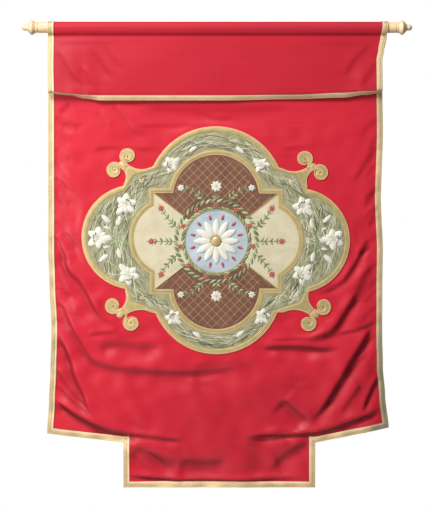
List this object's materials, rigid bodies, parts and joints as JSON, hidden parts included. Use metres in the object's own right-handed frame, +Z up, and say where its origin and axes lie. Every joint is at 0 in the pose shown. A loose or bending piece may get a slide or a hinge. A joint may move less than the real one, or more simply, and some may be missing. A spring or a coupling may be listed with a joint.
{
  "type": "church banner with pole",
  "caption": "Hanging church banner of red satin on a turned wooden pole, with gold galloon edges, a pole flap, a stepped lower edge and an embroidered quatrefoil medallion.",
  "frame": {"origin": "middle of the pole's axis", "axes": "+X to the banner's right seen from the front, -Y out of its front, +Z up"},
  "size_m": [1.289, 0.0599, 1.543],
  "materials": {
    "crimson_satin": "red satin with a soft sheen",
    "gold_galloon": "woven old gold galloon with metallic thread",
    "gold_border": "couched old gold braid",
    "embroidered_ground": "grey-green embroidery with light and dark threads",
    "embroidered_centre": "flat silk embroidery",
    "pine": "pale turned pine, clear matt varnish"
  },
  "bodies": {
    "root": {"pole": "pine", "finial_left": "pine", "finial_right": "pine", "banner_panel": "crimson_satin", "pole_flap": "crimson_satin", "galloon_flap_foot": "gold_galloon", "galloon_flap_left": "gold_galloon", "galloon_flap_right": "gold_galloon", "galloon_hem_left": "gold_galloon", "galloon_hem_right": "gold_galloon", "galloon_side_left": "gold_galloon", "galloon_side_right": "gold_galloon", "galloon_tab_foot": "gold_galloon", "galloon_tab_left": "gold_galloon", "galloon_tab_right": "gold_galloon", "medallion_border": "gold_border", "medallion_inner_border": "gold_border", "scroll_upper_left_top": "gold_border", "scroll_upper_left_side": "gold_border", "scroll_upper_right_top": "gold_border", "scroll_upper_right_side": "gold_border", "scroll_lower_left_side": "gold_border", "scroll_lower_left_foot": "gold_border", "scroll_lower_right_side": "gold_border", "scroll_lower_right_foot": "gold_border", "medallion_ground": "embroidered_ground", "medallion_centre": "embroidered_centre"}
  },
  "joints": []
}
